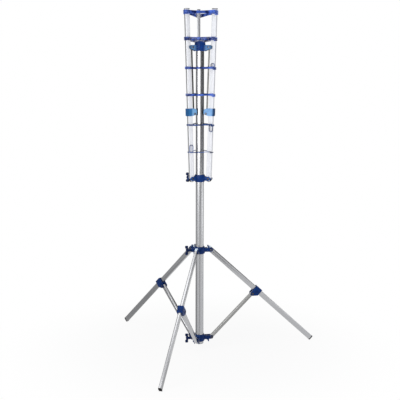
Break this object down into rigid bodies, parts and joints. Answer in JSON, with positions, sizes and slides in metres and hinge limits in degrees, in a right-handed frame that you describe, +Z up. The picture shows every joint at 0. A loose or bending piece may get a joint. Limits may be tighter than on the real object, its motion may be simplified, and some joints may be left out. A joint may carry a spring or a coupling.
{
  "type": "folding rotary clothes airer",
  "caption": "Umbrella clothes airer with lines wound round its folded arms, on a mast that turns in a folding tripod held by wing knobs.",
  "frame": {"origin": "centre of the flat lower face of the mast's foot plug", "axes": "+Z up along the mast; +X and +Y level, with the first leg a little to the left of +X"},
  "size_m": [0.8678, 0.8828, 1.4449],
  "materials": {
    "aluminium_tube": "satin anodised",
    "blue_plastic": "moulded, half gloss",
    "black_plastic": "moulded, matt",
    "grey_plastic": "moulded, matt",
    "zinc_steel": "zinc plated",
    "dark_steel": "dark plated",
    "blue_line": "smooth plastic-coated cord"
  },
  "bodies": {
    "tripod_base": {"tripod_base_hub": "blue_plastic", "leg_strut_rivet_1": "zinc_steel", "leg_strut_rivet_2": "zinc_steel", "leg_strut_rivet_3": "zinc_steel"},
    "mast": {"mast_tube": "aluminium_tube", "mast_foot_plug": "grey_plastic", "spider_hub": "blue_plastic", "arm_rod_rivet_1": "zinc_steel", "arm_rod_rivet_2": "zinc_steel", "arm_rod_rivet_3": "zinc_steel", "clothes_line_1": "blue_line", "clothes_line_2": "blue_line", "clothes_line_3": "blue_line", "clothes_line_4": "blue_line", "clothes_line_5": "blue_line", "clothes_line_6": "blue_line"},
    "tripod_slide": {"tripod_slide_hub": "blue_plastic", "leg_pivot_rivet_1": "zinc_steel", "leg_pivot_rivet_2": "zinc_steel", "leg_pivot_rivet_3": "zinc_steel"},
    "arm_slide": {"arm_hub": "blue_plastic", "arm_pivot_rivet_1": "zinc_steel", "arm_pivot_rivet_2": "zinc_steel", "arm_pivot_rivet_3": "zinc_steel"},
    "leg_1": {"leg_tube_1": "aluminium_tube", "leg_foot_1": "black_plastic", "leg_collar_1": "blue_plastic", "leg_collar_rivet_1": "zinc_steel"},
    "strut_1": {"leg_strut_1": "aluminium_tube"},
    "arm_1": {"arm_tube_1": "aluminium_tube", "arm_end_cap_1": "black_plastic", "arm_bracket_1": "blue_plastic", "arm_bracket_rivet_1": "zinc_steel"},
    "rod_1": {"arm_rod_1": "dark_steel"},
    "leg_2": {"leg_tube_2": "aluminium_tube", "leg_foot_2": "black_plastic", "leg_collar_2": "blue_plastic", "leg_collar_rivet_2": "zinc_steel"},
    "strut_2": {"leg_strut_2": "aluminium_tube"},
    "arm_2": {"arm_tube_2": "aluminium_tube", "arm_end_cap_2": "black_plastic", "arm_bracket_2": "blue_plastic", "arm_bracket_rivet_2": "zinc_steel"},
    "rod_2": {"arm_rod_2": "dark_steel"},
    "leg_3": {"leg_tube_3": "aluminium_tube", "leg_foot_3": "black_plastic", "leg_collar_3": "blue_plastic", "leg_collar_rivet_3": "zinc_steel"},
    "strut_3": {"leg_strut_3": "aluminium_tube"},
    "arm_3": {"arm_tube_3": "aluminium_tube", "arm_end_cap_3": "black_plastic", "arm_bracket_3": "blue_plastic", "arm_bracket_rivet_3": "zinc_steel"},
    "rod_3": {"arm_rod_3": "dark_steel"},
    "tripod_base_wing": {"tripod_base_knob": "blue_plastic", "tripod_base_stud": "zinc_steel"},
    "tripod_slide_wing": {"tripod_slide_knob": "blue_plastic", "tripod_slide_stud": "zinc_steel"},
    "arm_hub_wing": {"arm_hub_knob": "blue_plastic", "arm_hub_stud": "zinc_steel"}
  },
  "joints": [
    {"name": "mast_swivel", "type": "hinge", "parent": "tripod_base", "child": "mast", "pos_m": [0, 0, 0.027], "axis": [0, 0, 1], "continuous": true},
    {"name": "leg_fold", "type": "hinge", "parent": "tripod_base", "child": "strut_1", "pos_m": [0.05063, 0.01184, 0.027], "axis": [0.2277, -0.9737, 0], "range_deg": [0, 46.5]},
    {"name": "strut_2_pivot", "type": "hinge", "parent": "tripod_base", "child": "strut_2", "pos_m": [-0.03557, 0.03793, 0.027], "axis": [0.7294, 0.684, 0], "range_deg": [0, 46.55]},
    {"name": "strut_3_pivot", "type": "hinge", "parent": "tripod_base", "child": "strut_3", "pos_m": [-0.01506, -0.04977, 0.027], "axis": [-0.9571, 0.2897, 0], "range_deg": [0, 46.55]},
    {"name": "leg_1_collar_pivot", "type": "hinge", "parent": "strut_1", "child": "leg_1", "pos_m": [0.23004, 0.05378, 0.21064], "axis": [0.2277, -0.9737, 0], "range_deg": [-89.33, 0]},
    {"name": "slide_hub_pivot", "type": "hinge", "parent": "leg_1", "child": "tripod_slide", "pos_m": [0.04674, 0.01093, 0.4165], "axis": [0.2277, -0.9737, 0], "range_deg": [0, 42.83]},
    {"name": "leg_2_pivot", "type": "hinge", "parent": "tripod_slide", "child": "leg_2", "pos_m": [-0.03283, 0.03501, 0.4165], "axis": [0.7294, 0.684, 0], "range_deg": [-42.83, 0]},
    {"name": "leg_3_pivot", "type": "hinge", "parent": "tripod_slide", "child": "leg_3", "pos_m": [-0.01391, -0.04594, 0.4165], "axis": [-0.9571, 0.2897, 0], "range_deg": [-42.83, 0]},
    {"name": "arms_open", "type": "hinge", "parent": "mast", "child": "rod_1", "pos_m": [0.03807, -0.01775, 1.26855], "axis": [-0.4226, -0.9063, 0], "range_deg": [0, 63], "deforming": ["clothes_line_1", "clothes_line_2", "clothes_line_3", "clothes_line_4", "clothes_line_5", "clothes_line_6"]},
    {"name": "rod_2_pivot", "type": "hinge", "parent": "mast", "child": "rod_2", "pos_m": [-0.00366, 0.04184, 1.26855], "axis": [0.9962, 0.0872, 0], "range_deg": [0, 63.05]},
    {"name": "rod_3_pivot", "type": "hinge", "parent": "mast", "child": "rod_3", "pos_m": [-0.0344, -0.02409, 1.26855], "axis": [-0.5736, 0.8192, 0], "range_deg": [0, 63.05]},
    {"name": "arm_1_bracket_pivot", "type": "hinge", "parent": "rod_1", "child": "arm_1", "pos_m": [0.02833, -0.01321, 0.99753], "axis": [-0.4226, -0.9063, 0], "range_deg": [-126.05, 0]},
    {"name": "arm_hub_pivot", "type": "hinge", "parent": "arm_1", "child": "arm_slide", "pos_m": [0.03807, -0.01775, 0.7265], "axis": [-0.4226, -0.9063, 0], "range_deg": [0, 63.05]},
    {"name": "arm_2_pivot", "type": "hinge", "parent": "arm_slide", "child": "arm_2", "pos_m": [-0.00366, 0.04184, 0.7265], "axis": [0.9962, 0.0872, 0], "range_deg": [-63.05, 0]},
    {"name": "arm_3_pivot", "type": "hinge", "parent": "arm_slide", "child": "arm_3", "pos_m": [-0.0344, -0.02409, 0.7265], "axis": [-0.5736, 0.8192, 0], "range_deg": [-63.05, 0]},
    {"name": "tripod_base_knob_turn", "type": "hinge", "parent": "tripod_base", "child": "tripod_base_wing", "pos_m": [-0.03506, -0.0082, 0.027], "axis": [-0.9737, -0.2277, 0], "continuous": true},
    {"name": "tripod_slide_knob_turn", "type": "hinge", "parent": "tripod_slide", "child": "tripod_slide_wing", "pos_m": [-0.03506, -0.0082, 0.4165], "axis": [-0.9737, -0.2277, 0], "continuous": true},
    {"name": "arm_hub_knob_turn", "type": "hinge", "parent": "arm_slide", "child": "arm_hub_wing", "pos_m": [-0.03263, 0.01521, 0.7265], "axis": [-0.9063, 0.4226, 0], "continuous": true}
  ],
  "couplings": [
    {"joint": "strut_2_pivot", "follows": "leg_fold", "ratio": 1},
    {"joint": "strut_3_pivot", "follows": "leg_fold", "ratio": 1},
    {"joint": "leg_1_collar_pivot", "follows": "leg_fold", "ratio": -1.92},
    {"joint": "slide_hub_pivot", "follows": "leg_fold", "ratio": 0.92},
    {"joint": "leg_2_pivot", "follows": "leg_fold", "ratio": -0.92},
    {"joint": "leg_3_pivot", "follows": "leg_fold", "ratio": -0.92},
    {"joint": "rod_2_pivot", "follows": "arms_open", "ratio": 1},
    {"joint": "rod_3_pivot", "follows": "arms_open", "ratio": 1},
    {"joint": "arm_1_bracket_pivot", "follows": "arms_open", "ratio": -2},
    {"joint": "arm_hub_pivot", "follows": "arms_open", "ratio": 1},
    {"joint": "arm_2_pivot", "follows": "arms_open", "ratio": -1},
    {"joint": "arm_3_pivot", "follows": "arms_open", "ratio": -1}
  ]
}
